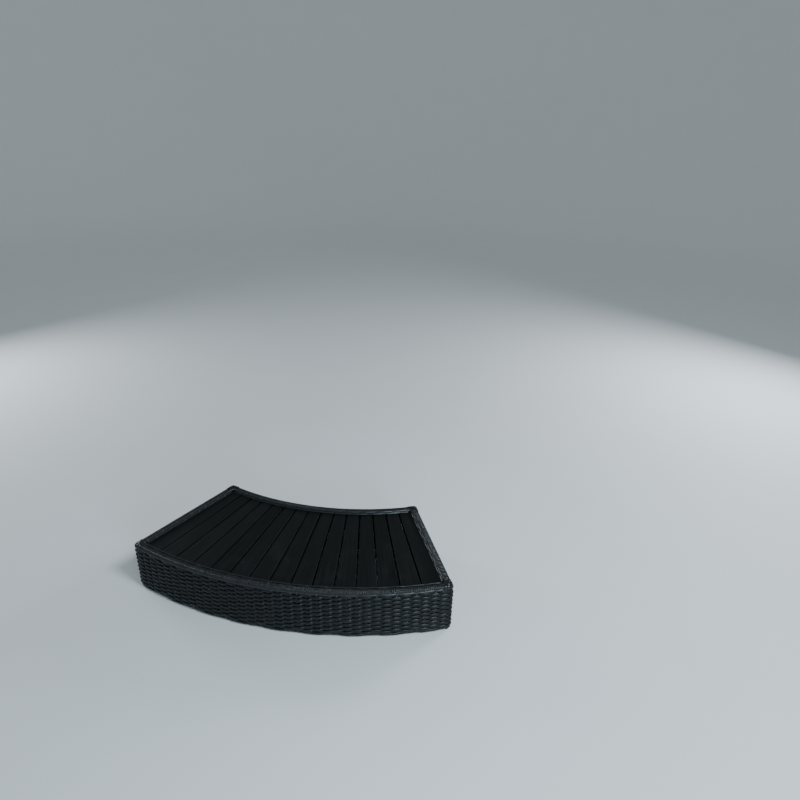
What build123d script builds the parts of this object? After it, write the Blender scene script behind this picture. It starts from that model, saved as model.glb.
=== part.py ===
"""Low curved step for a round spa tub: tube frame, radial deck boards, woven skin and bound rim.

Millimetres, +Z up.  The step is a ring sector about the tub's upright axis, which stands behind it
on +Y, so the long convex face looks along -Y.  The origin is at floor level, in the middle of the
step's length and depth.

Most pieces are laid out by their inset, the distance inwards from the woven outline.
"""

from build123d import *
import os
from math import asin, cos, degrees, radians, sin

# ---------------------------------------------------------------- driving dimensions
# Overall
outer_radius = 1628.0  # woven front face, from the tub's axis
inner_radius = 1090.0  # woven rear face, next to the tub
sector_angle = 47.0  # degrees, from the left face to the right face
rim_top = 218.5  # top of the bound rim above the floor
corner_radius = 8.0  # upright corners of the woven skin

# Square tube of the rails and posts
tube_width = 22.0
tube_wall = 1.5
tube_corner = 2.0
frame_clearance = 8.0  # floor to the underside of the bottom rails

# Woven skin
weave_thickness = 4.0
weave_clearance = 6.0  # floor to the lower edge of the skin
corner_return = 30.0  # how far the front and rear panels run round the corners

# Bound rim
wrap_thickness = 4.0  # strand bound round the top rails
lip_depth = 14.0  # how far the binding comes down outside
rim_edge_radius = 7.0
binding_length = 42.0  # each leg of a corner binding
binding_rise = 1.5  # how far the crossed strands stand above the rim

# Deck boards
board_count = 15
board_thickness = 20.0
board_drop = 10.0  # rim top down to the board tops
board_gap = 7.0  # between neighbouring boards
board_end_gap = 2.0  # board end to the rim
board_side_gap = 4.0  # first and last board to the rim
board_edge_radius = 1.5

# Bearers under the deck
bearer_width = 30.0
bearer_height = 20.0

# Deck screws, driven up through the bearers
screw_diameter = 4.0
screw_length = 34.0
screw_head_diameter = 8.0
screw_head_height = 2.5
screw_head_radius = 1.2
screw_tip_chamfer = 1.4
screw_pair_spacing = 30.0  # between the two screws of one crossing
screw_end_distance = 14.0  # from a board's end
screw_play = 0.05  # round the shank
pilot_extra = 1.0  # pilot hole beyond the screw's tip

# Levelling feet
stud_diameter = 7.9
stud_tip_gap = 2.5  # from the stud's tip up to the bottom rail's upper wall
stud_embedment = 4.0  # how deep the stud is moulded into the pad
stud_chamfer = 1.0
thread_play = 0.05  # round the stud, in its rivet nut
pad_diameter = 20.0
pad_top_diameter = 18.0
pad_edge_radius = 0.8
rivet_flange_diameter = 15.0
rivet_flange_height = 1.0
rivet_barrel_diameter = 11.0
rivet_barrel_length = 15.0
rivet_play = 0.05  # round the barrel, in the rail

# Cutting sketches run this far past what they cut
overrun = 2.0

# ---------------------------------------------------------------- derived sizes and places
half_angle = sector_angle / 2
rail_inset = weave_thickness + tube_width  # inner face of rails and posts
rail_centre_inset = weave_thickness + tube_width / 2
rim_outset = weave_thickness - wrap_thickness  # outer face of the bound rim
rim_inset = rail_inset + wrap_thickness  # inner face of the bound rim

rail_top = rim_top - wrap_thickness
rail_bottom = rail_top - tube_width
panel_top = rim_top - lip_depth
bottom_rail_top = frame_clearance + tube_width
board_top = rim_top - board_drop
board_bottom = board_top - board_thickness
bearer_bottom = board_bottom - bearer_height
pad_height = frame_clearance - rivet_flange_height
stud_bottom = pad_height - stud_embedment
stud_length = frame_clearance + tube_width - tube_wall - stud_tip_gap - stud_bottom

board_outer_radius = outer_radius - rim_inset - board_end_gap
board_inner_radius = inner_radius + rim_inset + board_end_gap
deck_side_inset = rim_inset + board_side_gap - board_gap / 2
middle_radius = (inner_radius + outer_radius) / 2

bearer_spans = {
    "front": (outer_radius - rail_inset - bearer_width, outer_radius - rail_inset),
    "middle": (middle_radius - bearer_width / 2, middle_radius + bearer_width / 2),
    "rear": (inner_radius + rail_inset, inner_radius + rail_inset + bearer_width),
}
screw_radii = {
    "front": board_outer_radius - screw_end_distance,
    "middle": middle_radius,
    "rear": board_inner_radius + screw_end_distance,
}

# The rounding of the rear corners sets how far the step reaches towards the tub
corner_arm = inner_radius + corner_radius
corner_swing = radians(half_angle) - asin(corner_radius / corner_arm)
rear_reach = corner_arm * cos(corner_swing) - corner_radius
tub_axis_y = (outer_radius + rear_reach) / 2

os.makedirs("parts", exist_ok=True)


# ---------------------------------------------------------------- shared layout
def polar(radius, angle):
    """Plan position at a radius from the tub's axis and an angle, in degrees, from the middle."""
    return (radius * sin(radians(angle)), tub_axis_y - radius * cos(radians(angle)))


def side_angle(radius, inset):
    """Angle where the line parallel to a side face, at an inset, crosses a radius."""
    return half_angle - degrees(asin(inset / radius))


def deck_angle(share, radius):
    """Angle at a share, 0 to 1 from left to right, of the deck's sweep at a radius."""
    return (2 * share - 1) * side_angle(radius, deck_side_inset)


def arc_shift(length, radius):
    """Angle that a length along the arc takes up at a radius."""
    return degrees(length / radius)


def sector(near_radius, far_radius, side_inset, rounding=0.0):
    """Ring sector in plan, with both straight sides set in from the side faces."""
    near = side_angle(near_radius, side_inset)
    far = side_angle(far_radius, side_inset)
    with BuildSketch() as plan:
        with BuildLine():
            near_arc = CenterArc((0, tub_axis_y), near_radius, 270 - near, 2 * near)
            far_arc = CenterArc((0, tub_axis_y), far_radius, 270 - far, 2 * far)
            Line(near_arc @ 0, far_arc @ 0)
            Line(near_arc @ 1, far_arc @ 1)
        make_face()
        if rounding > 0:
            fillet(plan.vertices(), rounding)
    return plan.sketch


def outline(inset, rounding=0.0):
    """The whole plan outline, set in on all four sides."""
    return sector(inner_radius + inset, outer_radius - inset, inset, rounding)


def curved_strip(face, near_inset, far_inset, end_inset):
    """Strip along the front or rear face between two insets."""
    if face == "front":
        strip = sector(outer_radius - far_inset, outer_radius - near_inset, end_inset)
    else:
        strip = sector(inner_radius + near_inset, inner_radius + far_inset, end_inset)
    return strip


def side_strips(near_inset, far_inset, end_inset):
    """Strips along both side faces between two insets, stopping short of the front and rear."""
    with BuildSketch() as plan:
        add(sector(inner_radius + end_inset, outer_radius - end_inset, near_inset))
        add(sector(inner_radius + end_inset, outer_radius - end_inset, far_inset), mode=Mode.SUBTRACT)
    return plan.sketch


def corner_cells(face, near_inset, far_inset):
    """Squares in the two corners of the front or rear face, between two insets both ways."""
    with BuildSketch() as plan:
        add(curved_strip(face, near_inset, far_inset, near_inset))
        add(sector(inner_radius, outer_radius, far_inset), mode=Mode.SUBTRACT)
    return plan.sketch


def middle_cell(face, near_inset, far_inset, width):
    """Square in the middle of the front or rear face, between two insets."""
    with BuildSketch() as plan:
        add(curved_strip(face, near_inset, far_inset, near_inset))
        Rectangle(width, 2 * (tub_axis_y + outer_radius), mode=Mode.INTERSECT)
    return plan.sketch


def near_face(face, reach):
    """Everything further than reach from the front or rear face, to be cut away."""
    if face == "front":
        far_zone = sector(inner_radius - overrun, outer_radius - reach, -overrun)
    else:
        far_zone = sector(inner_radius + reach, outer_radius + overrun, -overrun)
    return far_zone


kept_half = {"left": Keep.BOTTOM, "right": Keep.TOP}


def save(piece, name):
    """Label a finished piece and write its file."""
    piece.label = name
    export_step(piece, f"parts/{name}.step")


# ---------------------------------------------------------------- frame
front_rail_radius = outer_radius - rail_centre_inset
rear_rail_radius = inner_radius + rail_centre_inset
front_foot_angle = side_angle(front_rail_radius, rail_centre_inset)
rear_foot_angle = side_angle(rear_rail_radius, rail_centre_inset)
foot_places = {
    "front_left": polar(front_rail_radius, -front_foot_angle),
    "front_mid": polar(front_rail_radius, 0),
    "front_right": polar(front_rail_radius, front_foot_angle),
    "rear_left": polar(rear_rail_radius, -rear_foot_angle),
    "rear_mid": polar(rear_rail_radius, 0),
    "rear_right": polar(rear_rail_radius, rear_foot_angle),
}


def curved_rail(face, bottom):
    """Curved tube along the front or rear, running the full length of the frame."""
    with BuildPart() as rail:
        with BuildSketch(Plane.XY.offset(bottom)):
            add(curved_strip(face, weave_thickness, rail_inset, weave_thickness))
        extrude(amount=tube_width)
        fillet(rail.edges().sort_by(SortBy.LENGTH)[-4:], tube_corner)
        with BuildSketch(Plane.XY.offset(bottom + tube_wall)):
            add(curved_strip(face, weave_thickness + tube_wall, rail_inset - tube_wall, -overrun))
        extrude(amount=tube_width - 2 * tube_wall, mode=Mode.SUBTRACT)
    return rail.part


def side_rail(side, bottom, height):
    """Straight tube along one side, between the two curved rails or their posts."""
    with BuildPart() as rail:
        with BuildSketch(Plane.XY.offset(bottom)):
            add(side_strips(weave_thickness, rail_inset, rail_inset))
        extrude(amount=height)
        split(bisect_by=Plane.YZ, keep=kept_half[side])
        fillet(rail.edges().sort_by(SortBy.LENGTH)[-4:], tube_corner)
        with BuildSketch(Plane.XY.offset(bottom + tube_wall)):
            add(side_strips(weave_thickness + tube_wall, rail_inset - tube_wall, weave_thickness))
        extrude(amount=height - 2 * tube_wall, mode=Mode.SUBTRACT)
    return rail.part


def bottom_rail(face):
    """Curved bottom tube with a hole in its lower wall for each foot's rivet nut."""
    feet = [place for name, place in foot_places.items() if name.startswith(face)]
    with BuildPart() as rail:
        add(curved_rail(face, frame_clearance))
        with BuildSketch(Plane.XY.offset(frame_clearance)):
            with Locations(*feet):
                Circle(rivet_barrel_diameter / 2 + rivet_play)
        extrude(amount=tube_wall, mode=Mode.SUBTRACT)
    return rail.part


def post(section, bore):
    """Upright tube between the bottom and top rails."""
    with BuildPart() as upright:
        with BuildSketch(Plane.XY.offset(bottom_rail_top)):
            add(section)
        extrude(amount=rail_bottom - bottom_rail_top)
        fillet(upright.edges().filter_by(Axis.Z), tube_corner)
        with BuildSketch(Plane.XY.offset(bottom_rail_top)):
            add(bore)
        extrude(amount=rail_bottom - bottom_rail_top, mode=Mode.SUBTRACT)
    return upright.part


def corner_post(face, side):
    """One corner post, cut out of the mirrored pair of its face."""
    section = corner_cells(face, weave_thickness, rail_inset)
    bore = corner_cells(face, weave_thickness + tube_wall, rail_inset - tube_wall)
    with BuildPart() as upright:
        add(post(section, bore))
        split(bisect_by=Plane.YZ, keep=kept_half[side])
    return upright.part


def mid_post(face):
    """Post in the middle of the front or rear."""
    section = middle_cell(face, weave_thickness, rail_inset, tube_width)
    bore = middle_cell(
        face, weave_thickness + tube_wall, rail_inset - tube_wall, tube_width - 2 * tube_wall
    )
    return post(section, bore)


for face in ("front", "rear"):
    save(curved_rail(face, rail_bottom), f"top_rail_{face}")
    save(bottom_rail(face), f"bottom_rail_{face}")
    save(mid_post(face), f"mid_post_{face}")
    for side in ("left", "right"):
        save(corner_post(face, side), f"corner_post_{face}_{side}")
for side in ("left", "right"):
    save(side_rail(side, rail_bottom, tube_width), f"top_rail_{side}")
    save(side_rail(side, frame_clearance, tube_width), f"bottom_rail_{side}")
    save(side_rail(side, bearer_bottom, bearer_height), f"side_bearer_{side}")


# ---------------------------------------------------------------- deck
def crossing_screws(number, bearer):
    """Places of the two screws where a board crosses a bearer."""
    radius = screw_radii[bearer]
    centre = deck_angle((number + 0.5) / board_count, radius)
    swing = arc_shift(screw_pair_spacing / 2, radius)
    return [polar(radius, centre - swing), polar(radius, centre + swing)]


def deck_bearer(bearer):
    """Curved tube under the boards, drilled for their screws."""
    near_radius, far_radius = bearer_spans[bearer]
    holes = [place for number in range(board_count) for place in crossing_screws(number, bearer)]
    with BuildPart() as tube:
        with BuildSketch(Plane.XY.offset(bearer_bottom)):
            add(sector(near_radius, far_radius, rail_inset))
        extrude(amount=bearer_height)
        fillet(tube.edges().sort_by(SortBy.LENGTH)[-4:], tube_corner)
        with BuildSketch(Plane.XY.offset(bearer_bottom + tube_wall)):
            add(sector(near_radius + tube_wall, far_radius - tube_wall, weave_thickness))
        extrude(amount=bearer_height - 2 * tube_wall, mode=Mode.SUBTRACT)
        with BuildSketch(Plane.XY.offset(bearer_bottom)):
            with Locations(*holes):
                Circle(screw_diameter / 2 + screw_play)
        extrude(amount=bearer_height, mode=Mode.SUBTRACT)
    return tube.part


def deck_board(number):
    """Tapered board between two lines of the fan, with pilot holes from beneath."""
    left = number / board_count
    right = (number + 1) / board_count
    corners = {}
    for end, radius in (("near", board_inner_radius), ("far", board_outer_radius)):
        half_gap = arc_shift(board_gap / 2, radius)
        corners[end] = (
            polar(radius, deck_angle(left, radius) + half_gap),
            polar(radius, deck_angle((left + right) / 2, radius)),
            polar(radius, deck_angle(right, radius) - half_gap),
        )
    pilots = [place for bearer in screw_radii for place in crossing_screws(number, bearer)]
    with BuildPart() as board:
        with BuildSketch(Plane.XY.offset(board_bottom)):
            with BuildLine():
                near_end = ThreePointArc(*corners["near"])
                far_end = ThreePointArc(*corners["far"])
                Line(near_end @ 0, far_end @ 0)
                Line(near_end @ 1, far_end @ 1)
            make_face()
        extrude(amount=board_thickness)
        fillet(board.faces().sort_by(Axis.Z)[-1].edges(), board_edge_radius)
        with BuildSketch(Plane.XY.offset(board_bottom)):
            with Locations(*pilots):
                Circle(screw_diameter / 2 + screw_play)
        extrude(amount=screw_length - bearer_height + pilot_extra, mode=Mode.SUBTRACT)
    return board.part


for bearer in bearer_spans:
    save(deck_bearer(bearer), f"bearer_{bearer}")
for number in range(board_count):
    save(deck_board(number), f"deck_board_{number + 1:02d}")

all_screws = [
    place
    for number in range(board_count)
    for bearer in screw_radii
    for place in crossing_screws(number, bearer)
]
with BuildPart() as deck_screws:
    with BuildSketch(Plane.XY.offset(bearer_bottom)):
        with Locations(*all_screws):
            Circle(screw_diameter / 2)
    extrude(amount=screw_length)
    chamfer(deck_screws.faces().group_by(Axis.Z)[-1].edges(), screw_tip_chamfer)
    with BuildSketch(Plane.XY.offset(bearer_bottom - screw_head_height)):
        with Locations(*all_screws):
            Circle(screw_head_diameter / 2)
    extrude(amount=screw_head_height)
    fillet(deck_screws.faces().group_by(Axis.Z)[0].edges(), screw_head_radius)
save(deck_screws.part, "deck_screws")


# ---------------------------------------------------------------- woven skin
def curved_panel(face):
    """Woven front or rear skin, which runs round the corners on to the sides."""
    with BuildPart() as panel:
        with BuildSketch(Plane.XY.offset(weave_clearance)):
            add(outline(0, corner_radius))
            add(outline(weave_thickness), mode=Mode.SUBTRACT)
            add(near_face(face, corner_return), mode=Mode.SUBTRACT)
        extrude(amount=panel_top - weave_clearance)
    return panel.part


def side_panel(side):
    """Woven skin of one side, between the returns of the front and rear panels."""
    with BuildPart() as panel:
        with BuildSketch(Plane.XY.offset(weave_clearance)):
            add(side_strips(0, weave_thickness, corner_return))
        extrude(amount=panel_top - weave_clearance)
        split(bisect_by=Plane.YZ, keep=kept_half[side])
    return panel.part


for face in ("front", "rear"):
    save(curved_panel(face), f"woven_panel_{face}")
for side in ("left", "right"):
    save(side_panel(side), f"woven_panel_{side}")


# ---------------------------------------------------------------- bound rim
def curved_rim(face):
    """Strand binding over the front or rear top rail: top, inner side and outer lip."""
    with BuildPart() as rim:
        with BuildSketch(Plane.XY.offset(rail_bottom)):
            add(curved_strip(face, rim_outset, rim_inset, binding_length))
        extrude(amount=rim_top - rail_bottom)
        fillet(rim.faces().sort_by(Axis.Z)[-1].edges().sort_by(SortBy.LENGTH)[-2:], rim_edge_radius)
        with BuildSketch(Plane.XY.offset(rail_bottom)):
            add(curved_strip(face, weave_thickness, rail_inset, weave_thickness))
        extrude(amount=tube_width, mode=Mode.SUBTRACT)
        with BuildSketch(Plane.XY.offset(rail_bottom)):
            add(curved_strip(face, rim_outset - overrun, weave_thickness, weave_thickness))
        extrude(amount=panel_top - rail_bottom, mode=Mode.SUBTRACT)
    return rim.part


def side_rim(side):
    """Strand binding over one side's top rail."""
    with BuildPart() as rim:
        with BuildSketch(Plane.XY.offset(rail_bottom)):
            add(side_strips(rim_outset, rim_inset, binding_length))
        extrude(amount=rim_top - rail_bottom)
        split(bisect_by=Plane.YZ, keep=kept_half[side])
        fillet(rim.faces().sort_by(Axis.Z)[-1].edges().sort_by(SortBy.LENGTH)[-2:], rim_edge_radius)
        with BuildSketch(Plane.XY.offset(rail_bottom)):
            add(side_strips(weave_thickness, rail_inset, rail_inset))
        extrude(amount=tube_width, mode=Mode.SUBTRACT)
        with BuildSketch(Plane.XY.offset(rail_bottom)):
            add(side_strips(rim_outset - overrun, weave_thickness, rail_inset))
        extrude(amount=panel_top - rail_bottom, mode=Mode.SUBTRACT)
    return rim.part


def corner_binding(face, side):
    """Crossed strands over one corner of the rim, a little proud of it."""
    with BuildPart() as binding:
        with BuildSketch(Plane.XY.offset(rail_bottom)):
            add(outline(rim_outset, corner_radius))
            add(outline(rim_inset), mode=Mode.SUBTRACT)
            add(near_face(face, binding_length), mode=Mode.SUBTRACT)
            add(sector(inner_radius - overrun, outer_radius + overrun, binding_length), mode=Mode.SUBTRACT)
        extrude(amount=rim_top + binding_rise - rail_bottom)
        split(bisect_by=Plane.YZ, keep=kept_half[side])
        with BuildSketch(Plane.XY.offset(rail_bottom)):
            add(curved_strip(face, weave_thickness, rail_inset, weave_thickness))
            add(side_strips(weave_thickness, rail_inset, rail_inset))
        extrude(amount=tube_width, mode=Mode.SUBTRACT)
        with BuildSketch(Plane.XY.offset(rail_bottom)):
            add(outline(rim_outset - overrun))
            add(outline(weave_thickness), mode=Mode.SUBTRACT)
        extrude(amount=panel_top - rail_bottom, mode=Mode.SUBTRACT)
    return binding.part


for face in ("front", "rear"):
    save(curved_rim(face), f"rim_wrap_{face}")
    for side in ("left", "right"):
        save(corner_binding(face, side), f"corner_binding_{face}_{side}")
for side in ("left", "right"):
    save(side_rim(side), f"rim_wrap_{side}")

# ---------------------------------------------------------------- levelling feet
with BuildPart() as rivet_nuts:
    with BuildSketch(Plane.XY.offset(frame_clearance - rivet_flange_height)):
        with Locations(*foot_places.values()):
            Circle(rivet_flange_diameter / 2)
    extrude(amount=rivet_flange_height)
    with BuildSketch(Plane.XY.offset(frame_clearance)):
        with Locations(*foot_places.values()):
            Circle(rivet_barrel_diameter / 2)
    extrude(amount=rivet_barrel_length)
    with BuildSketch(Plane.XY.offset(frame_clearance - rivet_flange_height)):
        with Locations(*foot_places.values()):
            Circle(stud_diameter / 2 + thread_play)
    extrude(amount=rivet_flange_height + rivet_barrel_length, mode=Mode.SUBTRACT)
save(rivet_nuts.part, "rivet_nuts")


def foot_pad(place):
    """Moulded glide pad, socketed for its stud."""
    with BuildPart() as pad:
        with BuildSketch():
            with Locations(place):
                Circle(pad_diameter / 2)
        with BuildSketch(Plane.XY.offset(pad_height)):
            with Locations(place):
                Circle(pad_top_diameter / 2)
        loft()
        fillet(pad.faces().sort_by(Axis.Z)[0].edges(), pad_edge_radius)
        with BuildSketch(Plane.XY.offset(stud_bottom)):
            with Locations(place):
                Circle(stud_diameter / 2)
        extrude(amount=stud_embedment, mode=Mode.SUBTRACT)
    return pad.part


def foot_stud(place):
    """Threaded stud, drawn at its outside diameter, standing in its pad."""
    with BuildPart() as stud:
        with BuildSketch(Plane.XY.offset(stud_bottom)):
            with Locations(place):
                Circle(stud_diameter / 2)
        extrude(amount=stud_length)
        chamfer(stud.faces().sort_by(Axis.Z)[-1].edges(), stud_chamfer)
    return stud.part


for name, place in foot_places.items():
    save(foot_pad(place), f"foot_pad_{name}")
    save(foot_stud(place), f"foot_stud_{name}")
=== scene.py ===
import math
import random

import bpy
import numpy as np
from mathutils import Matrix, Vector


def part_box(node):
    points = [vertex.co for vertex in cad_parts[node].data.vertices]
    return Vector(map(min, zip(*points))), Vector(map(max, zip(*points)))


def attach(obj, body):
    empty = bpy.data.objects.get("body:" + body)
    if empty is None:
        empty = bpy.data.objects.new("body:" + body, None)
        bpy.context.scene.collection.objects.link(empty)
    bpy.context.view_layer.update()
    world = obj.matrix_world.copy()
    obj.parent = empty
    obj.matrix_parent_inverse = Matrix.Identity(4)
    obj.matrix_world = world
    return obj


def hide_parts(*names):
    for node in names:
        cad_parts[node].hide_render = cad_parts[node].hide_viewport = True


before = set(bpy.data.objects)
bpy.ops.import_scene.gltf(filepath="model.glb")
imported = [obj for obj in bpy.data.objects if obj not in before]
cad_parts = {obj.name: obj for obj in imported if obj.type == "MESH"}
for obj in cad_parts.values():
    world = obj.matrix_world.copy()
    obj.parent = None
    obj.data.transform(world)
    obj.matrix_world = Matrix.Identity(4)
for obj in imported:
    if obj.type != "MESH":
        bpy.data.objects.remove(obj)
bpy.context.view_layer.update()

# ---------------------------------------------------------------- driving sizes, metres
OUTER_RADIUS = 1.628  # woven front face, from the tub's axis
INNER_RADIUS = 1.090  # woven rear face
HALF_ANGLE = math.radians(23.5)  # from the middle of the step to a side face
CORNER_RADIUS = 0.008
CORNER_RETURN = 0.030  # front and rear panels run this far round the corners
BINDING_LENGTH = 0.042  # each leg of a corner binding
RIM_WIDTH = 0.030
RIM_EDGE_RADIUS = 0.007
BOARD_COUNT = 15
BOARD_WIDTH = 0.075  # about the middle of a board's taper, for the scale of its grain
DECK_SIDE_INSET = 0.0305  # from the side face to the first board's half gap

# Points along the outline
FRONT_POINTS = 400
REAR_POINTS = 300
CORNER_POINTS = 24
CORNER_STEP = 0.0016  # between the extra stations round a small corner
CORNER_STEPS = range(-4, 5)

# Weave
STAKE_COUNT = 88  # round the whole skin, even so that the rows close
STAKE_WIDTH = 0.0115
STAKE_THICKNESS = 0.0020
STAKE_DEPTH = 0.0010  # behind the middle of the weave
STAKE_STATIONS = 9
ROW_COUNT = 20
TOP_ROW_GAP = 0.0045  # from the top row up to the rim's lip
STRAND_THICKNESS = 0.0036
STRAND_WIDTH_SHARE = 1.13  # of the row pitch, so that neighbours close on each other
OUTER_SWELL = 0.25  # of the row pitch, gained in width in front of a stake
INNER_SWELL = 0.05  # and behind one
THICKENING = 0.10  # share of thickness gained in front of a stake and lost behind it
STRAND_LOOSENESS = 0.14  # share by which a float's swing may differ
STRAND_WANDER = 0.00035  # height error at a stake
STRAND_ROLL = 0.16  # a float's turn about its own length, in radians
WANDER_SEED, LOOSENESS_SEED, ROLL_SEED = 1000, 2000, 3000  # each plus the row's number
WEAVE_MIDDLE = -0.0026  # middle of the weave, out from the skin's face
FLOAT_RISE = 0.0026  # a strand's swing either side of its middle line
FLOAT_SLANT = 0.0004  # drop or rise in height either side of a float's middle
FLOAT_FLATNESS = 2.0  # how long a strand stays out before it dives between two stakes
EDGE_ROW_RISE = 0.6  # the bottom row swings less, and passes two stakes at a time
SAMPLES_PER_STAKE = 10

# Rim
LIP_TUCK = 0.0005  # turns end this far below the lip
TURN_PITCH = 0.0083
TURN_WIDTH = 0.0086
TURN_THICKNESS = 0.0019
TURN_SINK = 0.0003  # a turn may lie this much lower than its neighbour
TURN_LEAN = (0.0005, 0.0022)  # least and most that a turn advances on its way across
TURN_SPREAD = 0.04  # share by which a turn's width may differ
CORE_DEPTH = 0.85  # of a turn's thickness, from its crest to the lining
CORE_STEP = 0.012
EDGE_POINTS = 5  # round each top edge of the rim's section
LACING_WIDTH = 0.0094
LACING_THICKNESS = 0.0036
LACING_RISE = 0.00196  # from a float's ends to its middle
LACING_SINK = 0.00182  # its ends, under the surface it lies on
LACING_NECK = 0.55  # share of its width left under a tie
LACING_ROUNDING = 0.6  # under 1 keeps a float full for most of its length
LACING_HIGHLIGHT_TONE = 2.6  # painted highlight: paler than the turns, whose tones run from 0 to 1, in place of the bright line the light draws along the lacings and their ties
LACING_STATIONS = 18  # in each float
KNOT_WIDTH = TURN_WIDTH * 0.82
KNOT_THICKNESS = TURN_THICKNESS * 0.85
KNOT_REACH = 0.0052  # half the length of a tie, across its lacing
KNOT_LEAN = 0.0016
KNOT_RISE = 0.00168  # from a tie's ends to its middle
KNOT_LIFT = 0.0006  # its ends, over the surface it lies on
KNOT_STATIONS = 7
INNER_TILT = math.radians(40)  # round the rim's inner edge, from straight up
FOOT_TILT = math.radians(60)
FOOT_REACH = 0.0012  # from the rim's inner wall towards the boards
FOOT_DROP = 0.0092  # under the rim's top
OUTER_INSET = 0.0014  # from the rim's outer wall inwards
OUTER_RISE = 0.0006  # over the lip's bottom

# Bound corners
CORNER_TURNS = 10
CORNER_CORE_STATIONS = 14
FAN_WIDE = 1.30  # a fanned turn's width at the outer face, as a share of a plain one
FAN_TAPER = 0.85  # how much of a plain turn's width it loses on its way to the inner corner
FAN_STAGGER = 0.0002  # every other fanned turn lies this much higher
CROSSING_WIDTH = TURN_WIDTH * 0.9
CROSSING_SINK = TURN_THICKNESS * 0.6  # the strand's flat side, under the line it follows
CROSSING_ARCH = 0.0006  # rise over the top of the corner
CROSSING_POINTS = 6  # round an edge, and from edge to edge
# Each crossing strand: how far before and after the corner it lands, and its lift over the turns
CROSSINGS = ((0.031, 0.031, 0.0006), (0.020, 0.034, 0.0012), (0.033, 0.021, 0.0015))

# Heights come from the frame
panel_low, panel_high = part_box("woven_panel_front")
rim_low, rim_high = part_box("rim_wrap_front")
AXIS_Y = panel_low.y + OUTER_RADIUS
WEAVE_BOTTOM = panel_low.z
LIP_BOTTOM = panel_high.z
RIM_TOP = rim_high.z
RIM_BOTTOM = rim_low.z
ROW_PITCH = (LIP_BOTTOM - TOP_ROW_GAP - WEAVE_BOTTOM) / ROW_COUNT
UP = np.array([0.0, 0.0, 1.0])

rng = random.Random(33)  # every draw in the order of the code


# ---------------------------------------------------------------- the outline as a loop
def polar(radius, angle):
    return np.array([radius * math.sin(angle), AXIS_Y - radius * math.cos(angle)])


class Loop:
    """The rounded plan outline, walked from the middle of the front towards the right."""

    def __init__(self):
        r = CORNER_RADIUS
        front = HALF_ANGLE - math.asin(r / (OUTER_RADIUS - r))
        rear = HALF_ANGLE - math.asin(r / (INNER_RADIUS + r))
        self.points, self.normals = [], []
        self.arc(np.array([0, AXIS_Y]), OUTER_RADIUS, 0, front, -1, FRONT_POINTS)
        self.front_corner = len(self.points)
        self.turn(polar(OUTER_RADIUS - r, front), r, front - math.pi / 2, HALF_ANGLE, CORNER_POINTS)
        self.turn(polar(INNER_RADIUS + r, rear), r, HALF_ANGLE, rear + math.pi / 2, CORNER_POINTS)
        self.rear_corner = len(self.points)
        self.arc(np.array([0, AXIS_Y]), INNER_RADIUS, rear, 0, 1, REAR_POINTS)
        mirrored = [(np.array([-p[0], p[1]]), np.array([-n[0], n[1]])) for p, n in
                    zip(reversed(self.points[:-1]), reversed(self.normals[:-1]))]
        for p, n in mirrored:
            self.points.append(p)
            self.normals.append(n)
        self.points = np.array(self.points)
        self.normals = np.array(self.normals)
        steps = np.linalg.norm(np.diff(self.points, axis=0), axis=1)
        self.s = np.concatenate([[0], np.cumsum(steps)])
        self.length = self.s[-1]

    def arc(self, centre, radius, start, end, side, count):
        """Long arc about the tub's axis; side is -1 where the skin faces away from the axis."""
        for a in np.linspace(start, end, count):
            out = np.array([math.sin(a), -math.cos(a)])
            self.points.append(centre + radius * out)
            self.normals.append(out if side < 0 else -out)

    def turn(self, centre, radius, start, end, count):
        """Small rounded corner."""
        for a in np.linspace(start, end, count):
            out = np.array([math.cos(a), math.sin(a)])
            self.points.append(centre + radius * out)
            self.normals.append(out)

    def at(self, s):
        """Plan points and outward normals at distances s along the loop."""
        s = np.mod(s, self.length)
        p = np.stack([np.interp(s, self.s, self.points[:, k]) for k in range(2)], axis=-1)
        n = np.stack([np.interp(s, self.s, self.normals[:, k]) for k in range(2)], axis=-1)
        return p, n / np.linalg.norm(n, axis=-1, keepdims=True)


loop = Loop()
STAKE_PITCH = loop.length / STAKE_COUNT

# Middles of the rounded corners, as distances along the loop
side_start = loop.s[loop.front_corner + CORNER_POINTS - 1]
front_end = loop.s[loop.front_corner]
rear_start = loop.s[loop.rear_corner]
side_end = loop.s[loop.rear_corner - CORNER_POINTS]
FRONT_CORNER = (front_end + side_start) / 2
REAR_CORNER = (side_end + rear_start) / 2

# Where the front and rear panels end on the side faces
FRONT_CUT = side_start + CORNER_RETURN - CORNER_RADIUS
REAR_CUT = side_end - CORNER_RETURN + CORNER_RADIUS

# A corner binding's legs, measured along the rounded outline
BINDING_REACH = BINDING_LENGTH - CORNER_RADIUS * (1 - math.pi / 4)

# Lacings: a tie at every second stake; the shift says at which stakes, as a share of a float
LACING_PERIOD = 2 * STAKE_PITCH
LACING_SHIFTS = {"inner": 0.0, "foot": 0.5, "outer": 0.5}


# ---------------------------------------------------------------- strand meshes
# Domed section: across runs -1 to 1 over the strand's width, up 0 to 1 over its thickness
SECTION = np.array([
    (-0.92, 0.0), (-1.0, 0.15), (-0.92, 0.42), (-0.74, 0.68), (-0.45, 0.90), (0.0, 1.0),
    (0.45, 0.90), (0.74, 0.68), (0.92, 0.42), (1.0, 0.15), (0.92, 0.0),
])


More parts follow.
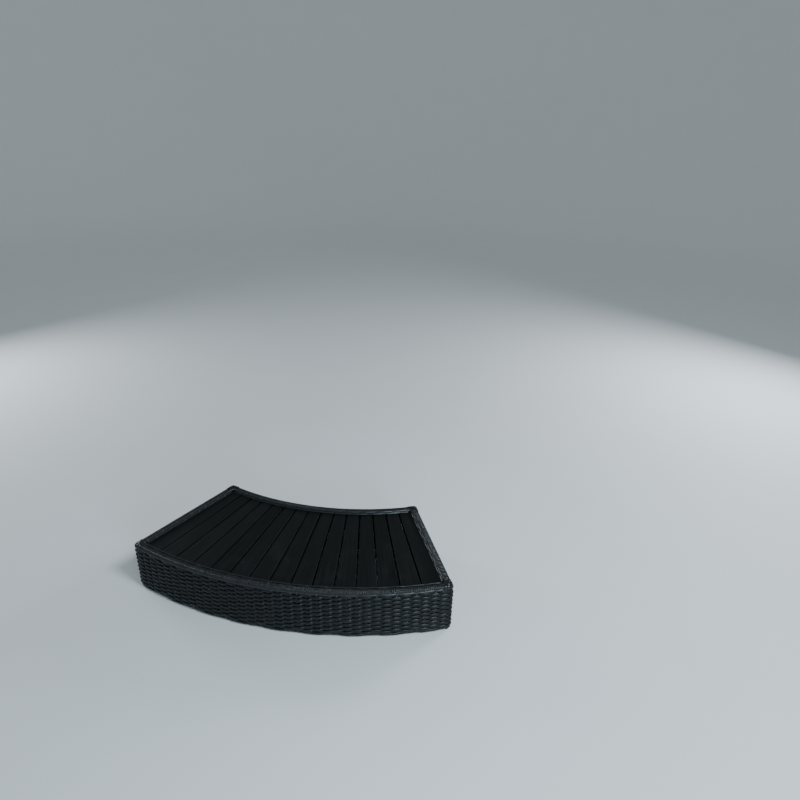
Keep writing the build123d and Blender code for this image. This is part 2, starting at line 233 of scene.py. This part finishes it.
class StrandMesh:
    """Collects strands and makes one mesh of them, with attributes for their material."""

    def __init__(self):
        self.verts, self.faces = [], []
        self.along, self.across, self.tone = [], [], []
        self.count = 0

    def add(self, centres, across, out, width, thickness, tone):
        """One strand: centre line on its flat side, directions, and size at each station."""
        stations, k = len(centres), len(SECTION)
        width = np.broadcast_to(width, stations)[:, None, None]
        thickness = np.broadcast_to(thickness, stations)[:, None, None]
        verts = (
            centres[:, None, :]
            + across[:, None, :] * SECTION[None, :, :1] * width / 2
            + out[:, None, :] * SECTION[None, :, 1:] * thickness
        )
        base = self.count
        ring = np.arange(k)
        nxt = (ring + 1) % k
        start = base + np.arange(stations - 1)[:, None] * k
        quads = np.stack([start + ring, start + k + ring, start + k + nxt, start + nxt], axis=-1)
        self.faces.extend(quads.reshape(-1, 4).tolist())
        self.faces.append([base + i for i in range(k)])
        self.faces.append([base + (stations - 1) * k + i for i in reversed(range(k))])
        self.verts.append(verts.reshape(-1, 3))
        steps = np.linalg.norm(np.diff(centres, axis=0), axis=1)
        run = np.concatenate([[0], np.cumsum(steps)]) + rng.uniform(0, 10)
        self.along.append(np.repeat(run, k))
        self.across.append(np.tile(SECTION[:, 0] * 0.5 + 0.5, stations))
        self.tone.append(np.full(stations * k, tone))
        self.count += stations * k

    def build(self, name, material):
        mesh = bpy.data.meshes.new(name)
        mesh.from_pydata(np.concatenate(self.verts).tolist(), [], self.faces)
        for label, values in (("along", self.along), ("across", self.across), ("tone", self.tone)):
            layer = mesh.attributes.new(label, "FLOAT", "POINT")
            layer.data.foreach_set("value", np.concatenate(values).astype(np.float32))
        mesh.validate()
        mesh.polygons.foreach_set("use_smooth", [True] * len(mesh.polygons))
        mesh.materials.append(material)
        mesh.update()
        piece = bpy.data.objects.new(name, mesh)
        bpy.context.scene.collection.objects.link(piece)
        return piece


# ---------------------------------------------------------------- node helpers
def new_material(name):
    material = bpy.data.materials.new(name)
    material.use_nodes = True
    tree = material.node_tree
    return material, tree, tree.nodes["Principled BSDF"]


def put(tree, socket, value):
    """Set a socket to a number or colour, or link another socket to it."""
    if isinstance(value, bpy.types.NodeSocket):
        tree.links.new(value, socket)
    elif value is not None:
        socket.default_value = value


def maths(tree, operation, a, b=None, c=None):
    node = tree.nodes.new("ShaderNodeMath")
    node.operation = operation
    for socket, value in zip(node.inputs, (a, b, c)):
        put(tree, socket, value)
    return node.outputs[0]


def vector(tree, x, y, z):
    node = tree.nodes.new("ShaderNodeCombineXYZ")
    for socket, value in zip(node.inputs, (x, y, z)):
        put(tree, socket, value)
    return node.outputs[0]


def noise(tree, coordinates, scale, detail=2.0, roughness=0.5):
    node = tree.nodes.new("ShaderNodeTexNoise")
    put(tree, node.inputs["Vector"], coordinates)
    node.inputs["Scale"].default_value = scale
    node.inputs["Detail"].default_value = detail
    node.inputs["Roughness"].default_value = roughness
    return node.outputs["Fac"]


def spread(tree, value, from_low, from_high, to_low, to_high):
    """Map one range to another and clamp it there."""
    node = tree.nodes.new("ShaderNodeMapRange")
    put(tree, node.inputs["Value"], value)
    for label, number in (("From Min", from_low), ("From Max", from_high),
                          ("To Min", to_low), ("To Max", to_high)):
        node.inputs[label].default_value = number
    return node.outputs["Result"]


def blend_colours(tree, factor, first, second):
    """Mix two colours; sockets 6 and 7 and output 2 are the node's colour ones."""
    node = tree.nodes.new("ShaderNodeMix")
    node.data_type = "RGBA"
    put(tree, node.inputs["Factor"], factor)
    for socket, value in ((node.inputs[6], first), (node.inputs[7], second)):
        put(tree, socket, value if isinstance(value, bpy.types.NodeSocket) else (*value, 1.0))
    return node.outputs[2]


def bump(tree, height, strength, distance, below=None):
    """Bump on top of another bump's normal, if one is given."""
    node = tree.nodes.new("ShaderNodeBump")
    put(tree, node.inputs["Height"], height)
    node.inputs["Strength"].default_value = strength
    node.inputs["Distance"].default_value = distance
    if below is not None:
        put(tree, node.inputs["Normal"], below)
    return node.outputs["Normal"]


def attribute(tree, name):
    node = tree.nodes.new("ShaderNodeAttribute")
    node.attribute_name = name
    return node.outputs["Fac"]


def object_xyz(tree):
    coordinates = tree.nodes.new("ShaderNodeTexCoord").outputs["Object"]
    parts = tree.nodes.new("ShaderNodeSeparateXYZ")
    tree.links.new(coordinates, parts.inputs[0])
    return coordinates, parts.outputs


# ---------------------------------------------------------------- materials
def strand_material(name, specular, gloss_low, gloss_high):
    """Extruded black resin strand: lengthwise draw lines, satin gloss, dust low down."""
    material, tree, shader = new_material(name)
    along, across, tone = (attribute(tree, n) for n in ("along", "across", "tone"))
    coordinates, xyz = object_xyz(tree)
    lines = noise(tree, vector(tree, maths(tree, "MULTIPLY", across, 16.0),
                               maths(tree, "MULTIPLY", along, 22.0),
                               maths(tree, "MULTIPLY", tone, 60.0)), 1.0, 3.0, 0.6)
    patches = noise(tree, coordinates, 28.0, 3.0, 0.6)
    base = blend_colours(tree, spread(tree, lines, 0.3, 0.7, 0.0, 1.0),
                         (0.0035, 0.0038, 0.0042), (0.0085, 0.0093, 0.0104))
    # tone is a strand's own random tone, and also painted light: stakes at 0 are painted shade, and
    # lacings and ties past 1 are a painted highlight
    tinted = blend_colours(tree, maths(tree, "MULTIPLY", tone, 0.37), base,
                           (0.0150, 0.0162, 0.0176))
    dust = maths(tree, "MULTIPLY", spread(tree, patches, 0.48, 0.75, 0.0, 0.22),
                 spread(tree, xyz[2], 0.0, 0.09, 1.0, 0.35))
    put(tree, shader.inputs["Base Color"], blend_colours(tree, dust, tinted, (0.032, 0.031, 0.029)))
    gloss = maths(tree, "ADD", spread(tree, lines, 0.25, 0.75, gloss_low, gloss_high),
                  maths(tree, "MULTIPLY", dust, 0.8))
    put(tree, shader.inputs["Roughness"], gloss)
    shader.inputs["IOR"].default_value = 1.50
    shader.inputs["Specular IOR Level"].default_value = specular
    fine = bump(tree, noise(tree, coordinates, 900.0, 2.0), 0.12, 0.0002)
    put(tree, shader.inputs["Normal"], bump(tree, lines, 0.30, 0.00030, fine))
    return material


def board_material():
    """Black wood-plastic board: brushed grain along its length, tone of its own, dull scuffs."""
    material, tree, shader = new_material("composite_board")
    coordinates, xyz = object_xyz(tree)
    depth = maths(tree, "SUBTRACT", AXIS_Y, xyz[1])
    radius = maths(tree, "SQRT", maths(tree, "ADD", maths(tree, "MULTIPLY", xyz[0], xyz[0]),
                                       maths(tree, "MULTIPLY", depth, depth)))
    angle = maths(tree, "ARCTAN2", xyz[0], depth)
    sweep = maths(tree, "SUBTRACT", HALF_ANGLE, maths(tree, "DIVIDE", DECK_SIDE_INSET, radius))
    share = maths(tree, "MULTIPLY_ADD", maths(tree, "DIVIDE", angle, sweep), 0.5, 0.5)
    number = maths(tree, "FLOOR", maths(tree, "MULTIPLY", share, BOARD_COUNT))
    own = tree.nodes.new("ShaderNodeTexWhiteNoise")
    own.noise_dimensions = "1D"
    put(tree, own.inputs["W"], number)
    own_tone = own.outputs["Value"]
    width = maths(tree, "MULTIPLY", share, BOARD_COUNT * BOARD_WIDTH)
    grain = noise(tree, vector(tree, maths(tree, "MULTIPLY", width, 620.0),
                               maths(tree, "MULTIPLY", radius, 9.0),
                               maths(tree, "MULTIPLY_ADD", number, 7.3, xyz[2])), 1.0, 4.0, 0.62)
    streaks = noise(tree, vector(tree, maths(tree, "MULTIPLY", width, 120.0),
                                 maths(tree, "MULTIPLY", radius, 2.2), number), 1.0, 3.0, 0.55)
    scuffs = noise(tree, coordinates, 9.0, 5.0, 0.62)
    dark = blend_colours(tree, spread(tree, grain, 0.32, 0.70, 0.0, 1.0),
                         (0.0011, 0.0013, 0.0013), (0.0054, 0.0060, 0.0061))
    own_dark = blend_colours(tree, maths(tree, "MULTIPLY", own_tone, 0.42), dark,
                             (0.0076, 0.0081, 0.0082))
    streaked = blend_colours(tree, spread(tree, streaks, 0.45, 0.75, 0.0, 0.35), own_dark,
                             (0.0140, 0.0144, 0.0150))
    scuffed = blend_colours(tree, spread(tree, scuffs, 0.55, 0.80, 0.0, 0.30), streaked,
                            (0.018, 0.018, 0.0175))
    put(tree, shader.inputs["Base Color"], scuffed)
    put(tree, shader.inputs["Roughness"],
        maths(tree, "ADD", spread(tree, grain, 0.3, 0.7, 0.42, 0.58),
              spread(tree, scuffs, 0.45, 0.75, -0.05, 0.12)))
    shader.inputs["IOR"].default_value = 1.48
    shader.inputs["Specular IOR Level"].default_value = 0.12
    body = bump(tree, streaks, 0.20, 0.0008)
    put(tree, shader.inputs["Normal"], bump(tree, grain, 0.50, 0.00045, body))
    return material


def coated_material():
    """Black powder coat with its fine orange peel."""
    material, tree, shader = new_material("powder_coat")
    coordinates, _ = object_xyz(tree)
    peel = noise(tree, coordinates, 1400.0, 2.0)
    marks = noise(tree, coordinates, 35.0, 4.0, 0.6)
    put(tree, shader.inputs["Base Color"], blend_colours(
        tree, spread(tree, marks, 0.4, 0.75, 0.0, 1.0),
        (0.010, 0.010, 0.011), (0.024, 0.024, 0.025)))
    put(tree, shader.inputs["Roughness"], spread(tree, marks, 0.3, 0.7, 0.42, 0.58))
    put(tree, shader.inputs["Normal"], bump(tree, peel, 0.35, 0.0003))
    return material


def zinc_material():
    """Zinc-plated steel, faintly blotched and finely brushed."""
    material, tree, shader = new_material("zinc_plate")
    coordinates, xyz = object_xyz(tree)
    blotches = noise(tree, coordinates, 180.0, 4.0, 0.6)
    brushed = noise(tree, vector(tree, maths(tree, "MULTIPLY", xyz[0], 300.0),
                                 maths(tree, "MULTIPLY", xyz[1], 300.0),
                                 maths(tree, "MULTIPLY", xyz[2], 4000.0)), 1.0, 2.0)
    put(tree, shader.inputs["Base Color"], blend_colours(
        tree, blotches, (0.42, 0.43, 0.45), (0.66, 0.66, 0.64)))
    shader.inputs["Metallic"].default_value = 1.0
    put(tree, shader.inputs["Roughness"], spread(tree, blotches, 0.3, 0.7, 0.26, 0.46))
    put(tree, shader.inputs["Normal"], bump(tree, brushed, 0.25, 0.0001))
    return material


def glide_material():
    """Moulded black plastic with a spark-eroded texture, scuffed grey underneath."""
    material, tree, shader = new_material("moulded_glide")
    coordinates, xyz = object_xyz(tree)
    texture = noise(tree, coordinates, 1100.0, 2.0)
    rubbed = maths(tree, "MULTIPLY", spread(tree, xyz[2], 0.0, 0.0012, 1.0, 0.0),
                   spread(tree, noise(tree, coordinates, 260.0, 4.0, 0.6), 0.35, 0.65, 0.2, 1.0))
    put(tree, shader.inputs["Base Color"], blend_colours(
        tree, rubbed, (0.013, 0.013, 0.014), (0.075, 0.073, 0.070)))
    put(tree, shader.inputs["Roughness"], spread(tree, texture, 0.3, 0.7, 0.45, 0.60))
    put(tree, shader.inputs["Normal"], bump(tree, texture, 0.4, 0.0003))
    return material


def floor_material():
    """Pale studio floor with painted shade: darker near the step, in place of less light falling
    there, paler far off, and faintly mottled.
    """
    material, tree, shader = new_material("studio_floor")
    coordinates, xyz = object_xyz(tree)
    reach = maths(tree, "SQRT", maths(tree, "ADD", maths(tree, "MULTIPLY", xyz[0], xyz[0]),
                                      maths(tree, "MULTIPLY", xyz[1], xyz[1])))
    # painted shade: the floor is darker within 1.5 m of the middle and pales out to 8 m; the noise
    # adds a faint mottle
    mottle_and_shade = maths(tree, "MULTIPLY_ADD", noise(tree, coordinates, 3.0, 3.0), 0.1,
                   spread(tree, reach, 1.5, 8.0, 0.0, 0.9))
    put(tree, shader.inputs["Base Color"],
        blend_colours(tree, mottle_and_shade, (0.62, 0.62, 0.62), (0.92, 0.92, 0.92)))
    shader.inputs["Roughness"].default_value = 0.75
    return material


strand = strand_material("resin_strand", 0.19, 0.22, 0.36)
rim_strand = strand_material("rubbed_rim_strand", 0.33, 0.18, 0.30)
zinc = zinc_material()
coat = coated_material()
node_materials = {
    "deck_board": board_material(),
    "deck_screws": zinc,
    "rivet_nuts": zinc,
    "foot_stud": zinc,
    "foot_pad": glide_material(),
    "top_rail": coat,
    "bottom_rail": coat,
    "corner_post": coat,
    "mid_post": coat,
    "bearer": coat,
    "side_bearer": coat,
}
for name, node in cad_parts.items():
    for kin, material in node_materials.items():
        if name.startswith(kin):
            for place in node.material_slots:
                place.material = material


# ---------------------------------------------------------------- weave
def stations(start, end, step, extra=()):
    """Distances along the loop on one grid, so that pieces that meet share their cut."""
    first = math.floor(start / step) + 1
    last = math.ceil(end / step) - 1
    grid = [start, *(k * step for k in range(first, last + 1)), end]
    grid += [s for s in extra if start < s < end]
    return np.array(sorted(set(grid)))


def corner_stations():
    """Extra stations round the four small corners."""
    places = []
    for corner in (FRONT_CORNER, REAR_CORNER, loop.length - REAR_CORNER, loop.length - FRONT_CORNER,
                   -FRONT_CORNER, -REAR_CORNER):
        places += [corner + k * CORNER_STEP for k in CORNER_STEPS]
    return places


def by_hand(seed, row, least, most, s):
    """The weaver's unevenness: a value of its own at each stake of a row, blended between."""
    own = random.Random(seed + row)
    values = np.array([own.uniform(least, most) for _ in range(STAKE_COUNT)])
    place = np.mod(s / STAKE_PITCH, STAKE_COUNT)
    low = np.floor(place).astype(int)
    share = place - low
    share = share * share * (3 - 2 * share)
    return values[low % STAKE_COUNT] * (1 - share) + values[(low + 1) % STAKE_COUNT] * share


def weave_row(mesh, row, start, end, height):
    """One strand in and out of the stakes; phase is 1 in front of a stake and -1 behind it."""
    s = stations(start, end, STAKE_PITCH / SAMPLES_PER_STAKE, corner_stations())
    plan, normal = loop.at(s)
    edge = row == 0
    turn = math.pi * ((s / STAKE_PITCH + 0.5) / 2 if edge else s / STAKE_PITCH + row)
    phase = np.tanh(FLOAT_FLATNESS * np.cos(turn)) / math.tanh(FLOAT_FLATNESS)
    looseness = by_hand(LOOSENESS_SEED, row, 1 - STRAND_LOOSENESS, 1 + STRAND_LOOSENESS, s)
    rise = FLOAT_RISE * phase * looseness * (EDGE_ROW_RISE if edge else 1)
    level = np.column_stack([normal, np.zeros(len(s))])
    depth = WEAVE_MIDDLE - STRAND_THICKNESS / 2 + rise
    wander = by_hand(WANDER_SEED, row, -STRAND_WANDER, STRAND_WANDER, s)
    lift = wander - FLOAT_SLANT * np.sin(turn)
    centres = np.column_stack([plan + normal * depth[:, None], height + lift])
    roll = by_hand(ROLL_SEED, row, -STRAND_ROLL, STRAND_ROLL, s)[:, None]
    across = UP * np.cos(roll) + level * np.sin(roll)
    out = level * np.cos(roll) - UP * np.sin(roll)
    swell = np.where(phase > 0, OUTER_SWELL * phase, -INNER_SWELL * phase)
    width = ROW_PITCH * (STRAND_WIDTH_SHARE + (0 if edge else swell))
    thickness = STRAND_THICKNESS * (1.0 + THICKENING * phase)
    mesh.add(centres, across, out, width, thickness, rng.random())


def upright_stake(mesh, s):
    """Flat upright stake behind the strands, given the darkest tone as painted shade."""
    plan, normal = loop.at(np.array([s]))
    out = np.append(normal[0], 0)
    side = np.array([-out[1], out[0], 0])
    heights = np.linspace(WEAVE_BOTTOM + ROW_PITCH / 2, LIP_BOTTOM, STAKE_STATIONS)
    base = np.append(plan[0], 0) + out * (WEAVE_MIDDLE - STAKE_DEPTH)
    centres = base + UP * heights[:, None]
    rows = (STAKE_STATIONS, 1)
    # tone 0, the darkest, is painted shade: the stakes are the same resin as the strands, darkened
    # because they lie in shadow in the gaps
    mesh.add(centres, np.tile(side, rows), np.tile(out, rows), STAKE_WIDTH, STAKE_THICKNESS, 0.0)


def weave_panel(name, start, end):
    """Plain weave of one face: rows over and under the upright stakes."""
    mesh = StrandMesh()
    for row in range(ROW_COUNT):
        weave_row(mesh, row, start, end, WEAVE_BOTTOM + (row + 0.5) * ROW_PITCH)
    for stake in range(math.ceil(start / STAKE_PITCH), math.floor(end / STAKE_PITCH) + 1):
        upright_stake(mesh, stake * STAKE_PITCH)
    piece = mesh.build("weave_" + name, strand)
    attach(piece, "frame")
    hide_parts("woven_panel_" + name)


weave_panel("front", -FRONT_CUT, FRONT_CUT)
weave_panel("right", FRONT_CUT, REAR_CUT)
weave_panel("rear", REAR_CUT, loop.length - REAR_CUT)
weave_panel("left", loop.length - REAR_CUT, loop.length - FRONT_CUT)


# ---------------------------------------------------------------- bound rim
def rim_profile(width, lift=0.0):
    """The rim's section from the outer lip inwards: inset, height, outward and upward parts."""
    r = RIM_EDGE_RADIUS
    marks = [(0.0, LIP_BOTTOM - LIP_TUCK, 1.0, 0.0),
             (0.0, (LIP_BOTTOM + RIM_TOP - r) / 2, 1.0, 0.0)]
    for turn in np.linspace(0, math.pi / 2, EDGE_POINTS):
        marks.append((r - r * math.cos(turn), RIM_TOP - r + r * math.sin(turn),
                      math.cos(turn), math.sin(turn)))
    marks.append((width / 2, RIM_TOP, 0.0, 1.0))
    for turn in np.linspace(0, math.pi / 2, EDGE_POINTS):
        marks.append((width - r + r * math.sin(turn), RIM_TOP - r + r * math.cos(turn),
                      -math.sin(turn), math.cos(turn)))
    marks += [(width, (RIM_BOTTOM + RIM_TOP - r) / 2, -1.0, 0.0), (width, RIM_BOTTOM, -1.0, 0.0)]
    return [(i - lift * o, z + lift * u, o, u) for i, z, o, u in marks]


def rim_turn(mesh, outer, outward, lift=0.0, lean=0.0, strip=TURN_WIDTH):
    """One turn of strand across the rim, from a plan point on its outer face, square to outward."""
    side = np.array([-outward[1], outward[0]])
    centres, outs = [], []
    for inset, z, o, u in rim_profile(RIM_WIDTH, lift - TURN_THICKNESS):
        plan = outer - outward * inset + side * lean * (inset / RIM_WIDTH - 0.5)
        centres.append((*plan, z))
        outs.append((*(outward * o), u))
    count = len(centres)
    mesh.add(np.array(centres), np.tile(np.append(side, 0), (count, 1)), np.array(outs),
             strip, TURN_THICKNESS, rng.random())


def rim_core(mesh, s):
    """Closed lining just under the turns, so that no gap shows the tube."""
    plan, normal = loop.at(s)
    profile = rim_profile(RIM_WIDTH, -TURN_THICKNESS * CORE_DEPTH)
    count = len(profile)
    base = mesh.count
    rings = []
    for p, n in zip(plan, normal):
        rings.append([(*(p - n * inset), z) for inset, z, _, _ in profile])
    verts = np.array(rings).reshape(-1, 3)
    for k in range(len(s) - 1):
        for j in range(count - 1):
            a = base + k * count + j
            mesh.faces.append([a, a + 1, a + count + 1, a + count])
    mesh.verts.append(verts)
    mesh.along.append(np.repeat(s, count))
    mesh.across.append(np.tile(np.linspace(0, 1, count), len(s)))
    mesh.tone.append(np.zeros(len(verts)))
    mesh.count += len(verts)


def lacing_face(kind):
    """Where a lengthwise strand lies: inset, height, and the way its dome faces (outward, up)."""
    if kind == "inner":
        sine, cosine = math.sin(INNER_TILT), math.cos(INNER_TILT)
        r = RIM_EDGE_RADIUS
        return RIM_WIDTH - r * (1 - sine), RIM_TOP - r * (1 - cosine), -sine, cosine
    if kind == "foot":
        sine, cosine = math.sin(FOOT_TILT), math.cos(FOOT_TILT)
        return RIM_WIDTH + FOOT_REACH, RIM_TOP - FOOT_DROP, -sine, cosine
    return OUTER_INSET, LIP_BOTTOM + OUTER_RISE, 1.0, 0.0


def lacing(mesh, kind, start, end):
    """Lengthwise strand, held down by a tie every period: a row of lens-shaped floats."""
    inset, height, o, u = lacing_face(kind)
    s = stations(start, end, LACING_PERIOD / LACING_STATIONS)
    plan, normal = loop.at(s)
    wave = np.abs(np.cos(math.pi * (s / LACING_PERIOD - LACING_SHIFTS[kind]))) ** LACING_ROUNDING
    outs = np.column_stack([normal * o, np.full(len(s), u)])
    centres = np.column_stack([plan - normal * inset, np.full(len(s), height)])
    centres += outs * (LACING_RISE * wave - LACING_SINK)[:, None]
    tangent = np.column_stack([-normal[:, 1], normal[:, 0], np.zeros(len(s))])
    across = np.cross(outs, tangent)
    width = LACING_WIDTH * (LACING_NECK + (1 - LACING_NECK) * wave)
    # the lacing's paler tone is a painted highlight
    mesh.add(centres, across, outs, width, LACING_THICKNESS, LACING_HIGHLIGHT_TONE)


def lacing_knots(mesh, kind, start, end):
    """The ties of one lacing, each a short strand over its narrow place."""
    offset = LACING_SHIFTS[kind] + 0.5
    first = math.ceil(start / LACING_PERIOD - offset)
    last = math.floor(end / LACING_PERIOD - offset)
    inset, height, o, u = lacing_face(kind)
    rows = (KNOT_STATIONS, 1)
    for k in range(first, last + 1):
        s = (k + offset) * LACING_PERIOD
        plan, normal = loop.at(np.array([s]))
        out = np.append(normal[0] * o, u)
        side = np.array([-normal[0][1], normal[0][0], 0.0])
        cross = np.cross(out, side)
        centre = np.append(plan[0] - normal[0] * inset, height)
        centres = np.array([centre + cross * KNOT_REACH * t + side * KNOT_LEAN * t
                            + out * (KNOT_RISE * (1 - t * t) + KNOT_LIFT)
                            for t in np.linspace(-1, 1, KNOT_STATIONS)])
        # the ties share the lacing's paler tone, a painted highlight
        mesh.add(centres, np.tile(side, rows), np.tile(out, rows), KNOT_WIDTH, KNOT_THICKNESS,
                 LACING_HIGHLIGHT_TONE)


def bound_rim(name, start, end):
    """Rim of one side: dark lining, crosswise turns and three lengthwise lacings, tied down."""
    mesh = StrandMesh()
    rim_core(mesh, stations(start, end, CORE_STEP))
    count = round((end - start) / TURN_PITCH)
    for k in range(count):
        s = start + (k + 0.5) * (end - start) / count
        plan, normal = loop.at(np.array([s]))
        lift = rng.uniform(-TURN_SINK, 0.0)
        lean = rng.uniform(*TURN_LEAN)
        strip = TURN_WIDTH * rng.uniform(1 - TURN_SPREAD, 1 + TURN_SPREAD)
        rim_turn(mesh, plan[0], normal[0], lift, lean, strip)
    for kind in LACING_SHIFTS:
        lacing(mesh, kind, start, end)
        lacing_knots(mesh, kind, start, end)
    piece = mesh.build("rim_" + name, rim_strand)
    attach(piece, "frame")
    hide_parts("rim_wrap_" + name)


def taper_turn(mesh, outer, pivot, lift):
    """Fanned turn of a corner, which narrows from the outer face to the inner corner."""
    span = pivot - outer
    length = np.linalg.norm(span)
    outward = -span / length
    side = np.array([-outward[1], outward[0]])
    profile = rim_profile(length, lift - TURN_THICKNESS)
    centres = np.array([(*(outer - outward * i), z) for i, z, _, _ in profile])
    outs = np.array([(*(outward * o), u) for _, _, o, u in profile])
    shares = np.array([FAN_WIDE - FAN_TAPER * max(0.0, i) / length for i, _, _, _ in profile])
    mesh.add(centres, np.tile(np.append(side, 0), (len(profile), 1)), outs, TURN_WIDTH * shares,
             TURN_THICKNESS, rng.random())


def crossing(mesh, sharp, before, after, lift):
    """Strand that goes up one outer face, over the top of the corner and down the other."""
    plan, normal = loop.at(np.array([sharp - before, sharp + after]))
    r = RIM_EDGE_RADIUS
    low = LIP_BOTTOM - LIP_TUCK
    points, outs = [], []
    for end, order in ((0, 1), (1, -1)):
        leg = [(0.0, low, 1.0, 0.0), (0.0, (low + RIM_TOP - r) / 2, 1.0, 0.0)]
        leg += [(r - r * math.cos(t), RIM_TOP - r + r * math.sin(t), math.cos(t), math.sin(t))
                for t in np.linspace(0, math.pi / 2, CROSSING_POINTS)]
        for inset, z, o, u in leg[::order]:
            n = normal[end]
            points.append((*(plan[end] - n * (inset - lift * o)), z + lift * u))
            outs.append((*(n * o), u))
    points = np.array(points)
    outs = np.array(outs)
    points -= outs * CROSSING_SINK
    half = len(points) // 2
    bridge = np.linspace(0, 1, CROSSING_POINTS)[1:-1, None]
    top = points[half - 1] * (1 - bridge) + points[half] * bridge
    top[:, 2] += CROSSING_ARCH
    points = np.vstack([points[:half], top, points[half:]])
    outs = np.vstack([outs[:half], np.tile(UP, (len(bridge), 1)), outs[half:]])
    run = np.gradient(points, axis=0)
    across = np.cross(outs, run)
    across /= np.linalg.norm(across, axis=1, keepdims=True)
    mesh.add(points, across, outs, CROSSING_WIDTH, TURN_THICKNESS, rng.random())


def corner_binding(name, sharp, radius):
    """Bound corner: turns fan round the inner corner, with crossing strands over the top."""
    mesh = StrandMesh()
    legs = np.linspace(sharp - BINDING_REACH, sharp + BINDING_REACH, CORNER_CORE_STATIONS)
    bend = [sharp + k * CORNER_STEP for k in CORNER_STEPS]
    rim_core(mesh, np.array(sorted([*legs, *bend])))
    swing = HALF_ANGLE - math.asin(RIM_WIDTH / radius)
    pivot = polar(radius, swing)
    plan, _ = loop.at(np.array([sharp]))
    if plan[0][0] < 0:
        pivot = pivot * np.array([-1, 1])
    reach = BINDING_REACH - TURN_WIDTH / 2
    for k in range(CORNER_TURNS):
        place = ((k + 0.5) / CORNER_TURNS * 2 - 1) * reach
        plan, normal = loop.at(np.array([sharp + place]))
        if abs(place) > BINDING_REACH - (BINDING_LENGTH - RIM_WIDTH):
            rim_turn(mesh, plan[0], normal[0])
        else:
            taper_turn(mesh, plan[0], pivot, FAN_STAGGER * (k % 2))
    for before, after, lift in CROSSINGS:
        crossing(mesh, sharp, before, after, lift)
    piece = mesh.build("corner_" + name, rim_strand)
    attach(piece, "frame")
    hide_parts("corner_binding_" + name)


bound_rim("front", -FRONT_CORNER + BINDING_REACH, FRONT_CORNER - BINDING_REACH)
bound_rim("right", FRONT_CORNER + BINDING_REACH, REAR_CORNER - BINDING_REACH)
bound_rim("rear", REAR_CORNER + BINDING_REACH, loop.length - REAR_CORNER - BINDING_REACH)
bound_rim("left", loop.length - REAR_CORNER + BINDING_REACH,
          loop.length - FRONT_CORNER - BINDING_REACH)
corner_binding("front_right", FRONT_CORNER, OUTER_RADIUS - RIM_WIDTH)
corner_binding("rear_right", REAR_CORNER, INNER_RADIUS + RIM_WIDTH)
corner_binding("rear_left", loop.length - REAR_CORNER, INNER_RADIUS + RIM_WIDTH)
corner_binding("front_left", loop.length - FRONT_CORNER, OUTER_RADIUS - RIM_WIDTH)


# ---------------------------------------------------------------- studio
def floor():
    """Flat studio floor that curves up far away, so that no horizon shows."""
    flat, rise, sweep, rings, sides = 8.0, 5.0, math.radians(80), 12, 96
    profile = [(0.0, 0.0), (flat / 2, 0.0)]
    profile += [(flat + rise * math.sin(t), rise * (1 - math.cos(t)))
                for t in np.linspace(0, sweep, rings)]
    verts, faces = [], []
    for radius, height in profile[1:]:
        for k in range(sides):
            angle = 2 * math.pi * k / sides
            verts.append((radius * math.cos(angle), radius * math.sin(angle), height))
    faces.append(list(range(sides)))
    for ring in range(len(profile) - 2):
        for k in range(sides):
            a, b = ring * sides + k, ring * sides + (k + 1) % sides
            faces.append([a, a + sides, b + sides, b])
    mesh = bpy.data.meshes.new("studio_floor")
    mesh.from_pydata(verts, [], faces)
    mesh.polygons.foreach_set("use_smooth", [True] * len(faces))
    mesh.materials.append(floor_material())
    ground = bpy.data.objects.new("studio_floor", mesh)
    bpy.context.scene.collection.objects.link(ground)


def area_light(name, place, target, size, watts, colour):
    """Round soft light at a place, aimed at a target."""
    light = bpy.data.lights.new(name, "AREA")
    light.shape = "DISK"
    light.size = size
    light.energy = watts
    light.color = colour
    lamp = bpy.data.objects.new(name, light)
    lamp.visible_camera = False
    lamp.location = place
    aim = Vector(target) - Vector(place)
    lamp.rotation_euler = aim.to_track_quat("-Z", "Y").to_euler()
    bpy.context.scene.collection.objects.link(lamp)


def sky():
    """Even, faintly blue light from all round."""
    world = bpy.data.worlds.new("studio")
    world.use_nodes = True
    background = world.node_tree.nodes["Background"]
    background.inputs["Color"].default_value = (0.82, 0.93, 1.0, 1.0)
    background.inputs["Strength"].default_value = 0.27
    bpy.context.scene.world = world


def camera():
    """Camera at head height, a little to the right of the step and turned back towards it."""
    distance, bearing, height = 3.3896, math.radians(11.93), 1.8178
    yaw, pitch, roll = math.radians(-8.63), math.radians(24.82), math.radians(1.59)
    level = math.cos(pitch)
    forward = Vector((math.sin(yaw) * level, math.cos(yaw) * level, -math.sin(pitch)))
    right = Vector((math.cos(yaw), -math.sin(yaw), 0))
    up = right.cross(forward)
    right, up = (math.cos(roll) * right + math.sin(roll) * up,
                 math.cos(roll) * up - math.sin(roll) * right)
    lens = bpy.data.cameras.new("camera")
    lens.sensor_width = 36
    lens.lens = 27.74
    lens.clip_end = 50
    view = bpy.data.objects.new("camera", lens)
    turn = Matrix((right, up, -forward)).transposed().to_4x4()
    place = (distance * math.sin(bearing), AXIS_Y - distance * math.cos(bearing), height)
    view.matrix_world = Matrix.Translation(place) @ turn
    bpy.context.scene.collection.objects.link(view)
    bpy.context.scene.camera = view


floor()
sky()
area_light("front_softbox", (2.4, -3.9, 1.5), (0, 0, 0.15), 2.0, 130, (0.67, 0.88, 1.0))
area_light("front_top", (2.05, -1.35, 3.3), (0, 0, 0.2), 1.0, 130, (0.78, 0.93, 1.0))
area_light("left_low", (-3.5, 1.6, 1.3), (0, 0, 0.15), 1.4, 50, (0.86, 0.94, 1.0))
area_light("rear_right", (3.1, 2.9, 1.7), (0, 0, 0.2), 1.4, 100, (0.86, 0.94, 1.0))
camera()
